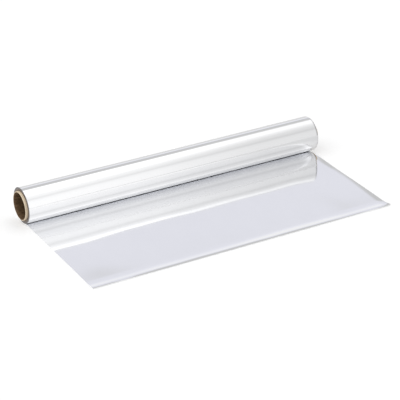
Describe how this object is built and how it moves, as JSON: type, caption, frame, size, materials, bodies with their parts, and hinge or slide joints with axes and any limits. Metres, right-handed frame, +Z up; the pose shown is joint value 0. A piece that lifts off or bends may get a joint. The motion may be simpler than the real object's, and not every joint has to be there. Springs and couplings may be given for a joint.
{
  "type": "aluminium foil roll",
  "caption": "Household aluminium foil wound on a paperboard core tube, lying on its side with a length drawn out flat in front.",
  "frame": {"origin": "on the table, in the middle of the footprint of the roll and the foil drawn out in front of it", "axes": "+X along the roll, +Y from the drawn-out foil towards the back of the roll, +Z up"},
  "size_m": [0.3056, 0.1526, 0.0333],
  "materials": {
    "paperboard": "matt brown kraft board with pale cut ends",
    "foil": "bright rolled foil with fine rolling lines"
  },
  "bodies": {
    "root": {"core_tube": "paperboard", "foil": "foil"}
  },
  "joints": []
}
